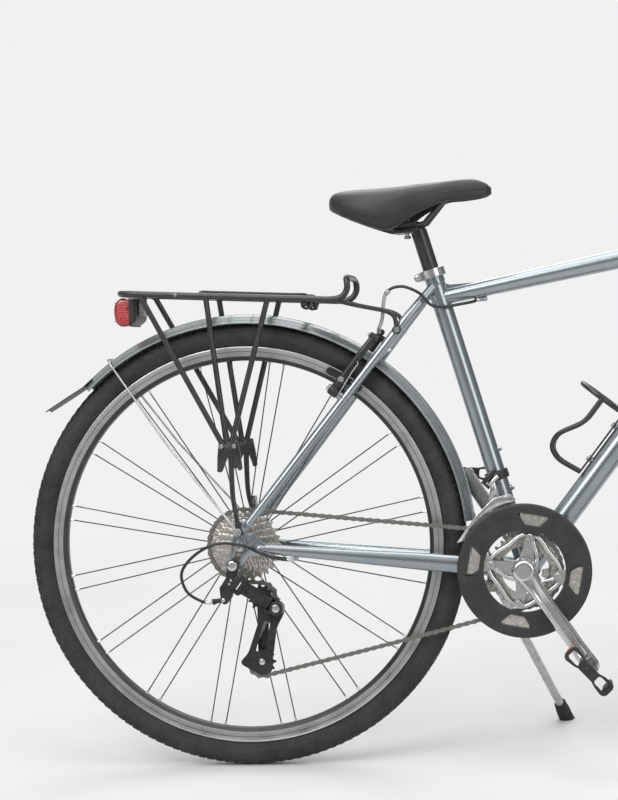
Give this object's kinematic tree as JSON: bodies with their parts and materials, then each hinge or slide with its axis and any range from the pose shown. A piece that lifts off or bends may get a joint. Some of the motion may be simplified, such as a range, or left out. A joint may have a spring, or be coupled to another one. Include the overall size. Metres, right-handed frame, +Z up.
{
  "type": "hybrid bike",
  "caption": "Trekking bike leaning on its kickstand, with derailleur gears, linear-pull brakes, mudguards, luggage rack, lights and bottle cage; wheels, steering and controls move.",
  "frame": {"origin": "on the ground under the middle of the whole bike's bounding box", "axes": "+X forward, +Y to the rider's left, +Z up; the bike leans six degrees to +Y on its kickstand"},
  "size_m": [1.761, 0.6062, 1.0183],
  "materials": {
    "paint": "gloss metallic",
    "grey_paint": "gloss",
    "black_paint": "satin",
    "alloy": "polished",
    "steel": "bright, lightly soiled",
    "black_metal": "satin",
    "black_plastic": "matte",
    "light": "gloss",
    "tyre": "matte",
    "rubber": "matte",
    "saddle_cover": "satin"
  },
  "bodies": {
    "frame": {"frame": "paint", "seat_clamp": "alloy", "seatpost": "black_paint", "saddle_rails": "steel", "saddle": "saddle_cover", "rear_rack": "black_paint", "rear_light": "light", "rear_mudguard": "grey_paint", "chain": "steel", "kickstand_mount": "steel", "rear_brake_cable": "black_plastic", "rear_shift_cable": "black_plastic", "bottle_cage": "black_metal", "front_derailleur_body": "black_metal", "rear_axle": "steel", "rd_b_knuckle": "black_metal"},
    "rack_clamp": {"rack_clamp": "black_paint"},
    "steering": {"fork": "paint", "stem": "alloy", "handlebar": "black_paint", "grip_left": "rubber", "grip_right": "rubber", "brake_perch_left": "black_metal", "brake_perch_right": "black_metal", "front_light": "black_plastic", "front_mudguard": "grey_paint", "front_axle": "steel"},
    "front_wheel": {"front_tyre": "tyre", "front_rim": "alloy", "front_hub": "alloy"},
    "rear_wheel": {"rear_tyre": "tyre", "rear_rim": "alloy", "rear_hub": "alloy"},
    "cassette": {"cassette": "steel"},
    "crankset": {"crank_right": "alloy", "crank_left": "alloy", "chainring_large": "steel", "chainring_middle": "steel", "chainring_small": "steel", "chainguard": "black_plastic"},
    "kickstand": {"kickstand_leg": "alloy"},
    "front_qr_lever": {"front_qr_lever": "alloy"},
    "rear_qr_lever": {"rear_qr_lever": "alloy"},
    "pedal_left": {"pedal_left": "black_plastic"},
    "pedal_right": {"pedal_right": "black_plastic"},
    "brake_lever_left": {"brake_lever_left": "alloy"},
    "brake_lever_right": {"brake_lever_right": "alloy"},
    "shifter_left": {"shifter_left": "rubber"},
    "shifter_right": {"shifter_right": "rubber"},
    "rear_brake_arm_left": {"rear_brake_arm_left": "black_metal"},
    "rear_brake_arm_right": {"rear_brake_arm_right": "black_metal"},
    "front_brake_arm_left": {"front_brake_arm_left": "black_metal"},
    "front_brake_arm_right": {"front_brake_arm_right": "black_metal"},
    "rd_outer_link": {"rd_outer_link": "black_metal"},
    "rd_inner_link": {"rd_inner_link": "black_metal"},
    "rd_p_knuckle": {"rd_p_knuckle": "black_metal"},
    "rd_cage": {"rd_cage": "black_metal"},
    "guide_pulley": {"guide_pulley": "black_plastic"},
    "tension_pulley": {"tension_pulley": "black_plastic"},
    "fd_cage": {"fd_cage": "steel"}
  },
  "joints": [
    {"name": "steer", "type": "hinge", "parent": "frame", "child": "steering", "pos_m": [0.34346, -0.02387, 0.74553], "axis": [-0.3256, 0.0988, 0.9403], "range_deg": [-60, 60]},
    {"name": "front_wheel_spin", "type": "hinge", "parent": "steering", "child": "front_wheel", "pos_m": [0.5305, -0.06556, 0.34888], "axis": [0, 0.9945, -0.1045], "continuous": true},
    {"name": "rear_wheel_spin", "type": "hinge", "parent": "frame", "child": "rear_wheel", "pos_m": [-0.5305, -0.06556, 0.34888], "axis": [0, 0.9945, -0.1045], "continuous": true},
    {"name": "crank_spin", "type": "hinge", "parent": "frame", "child": "crankset", "pos_m": [-0.08849, -0.07047, 0.30213], "axis": [0, 0.9945, -0.1045], "range_deg": [-93, 196]},
    {"name": "cassette_spin", "type": "hinge", "parent": "frame", "child": "cassette", "pos_m": [-0.5305, -0.06556, 0.34888], "axis": [0, 0.9945, -0.1045], "range_deg": [-94, 197]},
    {"name": "pedal_right_spin", "type": "hinge", "parent": "crankset", "child": "pedal_right", "pos_m": [0.00937, -0.20498, 0.17039], "axis": [0, 0.9945, -0.1045], "continuous": true},
    {"name": "pedal_left_spin", "type": "hinge", "parent": "crankset", "child": "pedal_left", "pos_m": [-0.18635, 0.06403, 0.43388], "axis": [0, 0.9945, -0.1045], "continuous": true},
    {"name": "brake_lever_left_squeeze", "type": "hinge", "parent": "steering", "child": "brake_lever_left", "pos_m": [0.39182, 0.15682, 0.93853], "axis": [0.4964, 0.2452, 0.8328], "range_deg": [0, 17], "stiffness_Nm_per_rad": 0.9, "springref_deg": -14.32},
    {"name": "shifter_left_twist", "type": "hinge", "parent": "steering", "child": "shifter_left", "pos_m": [0.31966, 0.29626, 0.9405], "axis": [-0.2731, 0.9547, -0.1183], "range_deg": [0, 60]},
    {"name": "brake_lever_right_squeeze", "type": "hinge", "parent": "steering", "child": "brake_lever_right", "pos_m": [0.39182, -0.16048, 0.97188], "axis": [-0.4964, 0.0667, -0.8655], "range_deg": [0, 17], "stiffness_Nm_per_rad": 0.9, "springref_deg": -14.32},
    {"name": "shifter_right_twist", "type": "hinge", "parent": "steering", "child": "shifter_right", "pos_m": [0.31966, -0.29647, 1.0028], "axis": [-0.2731, -0.9584, 0.0828], "range_deg": [0, 140]},
    {"name": "rear_brake_arm_left_swing", "type": "hinge", "parent": "frame", "child": "rear_brake_arm_left", "pos_m": [-0.36204, 0.00283, 0.56909], "axis": [0.7762, -0.0659, -0.627], "range_deg": [0, 3.6]},
    {"name": "front_brake_arm_left_swing", "type": "hinge", "parent": "steering", "child": "front_brake_arm_left", "pos_m": [0.40139, 0.00394, 0.59366], "axis": [0.9455, 0.034, 0.3238], "range_deg": [0, 3.6]},
    {"name": "rear_brake_arm_right_swing", "type": "hinge", "parent": "frame", "child": "rear_brake_arm_right", "pos_m": [-0.36204, -0.08667, 0.57849], "axis": [-0.7762, 0.0659, 0.627], "range_deg": [0, 3.6]},
    {"name": "front_brake_arm_right_swing", "type": "hinge", "parent": "steering", "child": "front_brake_arm_right", "pos_m": [0.40139, -0.08265, 0.60276], "axis": [-0.9455, -0.034, -0.3238], "range_deg": [0, 3.6]},
    {"name": "rd_outer_link_swing", "type": "hinge", "parent": "frame", "child": "rd_outer_link", "pos_m": [-0.5285, -0.15558, 0.296], "axis": [0.5942, 0.0841, 0.7999], "range_deg": [-36.4, 0], "deforming": ["chain"]},
    {"name": "rd_inner_link_swing", "type": "hinge", "parent": "frame", "child": "rd_inner_link", "pos_m": [-0.5285, -0.14066, 0.29443], "axis": [0.5942, 0.0841, 0.7999], "range_deg": [-36.4, 0]},
    {"name": "rd_knuckle_swing", "type": "hinge", "parent": "rd_outer_link", "child": "rd_p_knuckle", "pos_m": [-0.49099, -0.12864, 0.2653], "axis": [0.5942, 0.0841, 0.7999], "range_deg": [0, 36.4]},
    {"name": "rd_cage_swing", "type": "hinge", "parent": "rd_p_knuckle", "child": "rd_cage", "pos_m": [-0.479, -0.07586, 0.25092], "axis": [0, 0.9945, -0.1045], "range_deg": [-30, 25], "stiffness_Nm_per_rad": 0.3, "springref_deg": 22.92},
    {"name": "guide_pulley_spin", "type": "hinge", "parent": "rd_cage", "child": "guide_pulley", "pos_m": [-0.5065, -0.10158, 0.26921], "axis": [0, 0.9945, -0.1045], "range_deg": [-500, 240]},
    {"name": "tension_pulley_spin", "type": "hinge", "parent": "rd_cage", "child": "tension_pulley", "pos_m": [-0.5075, -0.1122, 0.16826], "axis": [0, 0.9945, -0.1045], "range_deg": [-240, 500]},
    {"name": "fd_cage_swing", "type": "hinge", "parent": "frame", "child": "fd_cage", "pos_m": [-0.1345, -0.08578, 0.44351], "axis": [0.7001, 0.0746, 0.7102], "range_deg": [-17, 0]},
    {"name": "rear_qr_swing", "type": "hinge", "parent": "frame", "child": "rear_qr_lever", "pos_m": [-0.5305, 0.02076, 0.3398], "axis": [-0.9976, -0.0073, -0.0694], "range_deg": [0, 165]},
    {"name": "front_qr_swing", "type": "hinge", "parent": "steering", "child": "front_qr_lever", "pos_m": [0.5305, 0.00436, 0.34153], "axis": [-0.8645, -0.0525, -0.4999], "range_deg": [0, 165]},
    {"name": "rack_clamp_lift", "type": "hinge", "parent": "frame", "child": "rack_clamp", "pos_m": [-0.4185, -0.02618, 0.72356], "axis": [0, 0.9945, -0.1045], "range_deg": [0, 60], "stiffness_Nm_per_rad": 0.8, "springref_deg": -22.92},
    {"name": "kickstand_fold", "type": "hinge", "parent": "frame", "child": "kickstand", "pos_m": [-0.14249, -0.04765, 0.27058], "axis": [-0.0113, 0.7881, 0.6155], "range_deg": [0, 95.8]}
  ],
  "couplings": [
    {"joint": "cassette_spin", "follows": "crank_spin", "ratio": 1},
    {"joint": "guide_pulley_spin", "follows": "crank_spin", "ratio": -2.5455},
    {"joint": "tension_pulley_spin", "follows": "crank_spin", "ratio": 2.5455},
    {"joint": "rear_brake_arm_left_swing", "follows": "brake_lever_right_squeeze", "ratio": 0.20588},
    {"joint": "front_brake_arm_left_swing", "follows": "brake_lever_left_squeeze", "ratio": 0.20588},
    {"joint": "rear_brake_arm_right_swing", "follows": "brake_lever_right_squeeze", "ratio": 0.20588},
    {"joint": "front_brake_arm_right_swing", "follows": "brake_lever_left_squeeze", "ratio": 0.20588},
    {"joint": "rd_outer_link_swing", "follows": "shifter_right_twist", "ratio": -0.26},
    {"joint": "rd_inner_link_swing", "follows": "shifter_right_twist", "ratio": -0.26},
    {"joint": "rd_knuckle_swing", "follows": "shifter_right_twist", "ratio": 0.26},
    {"joint": "fd_cage_swing", "follows": "shifter_left_twist", "ratio": -0.28333}
  ]
}
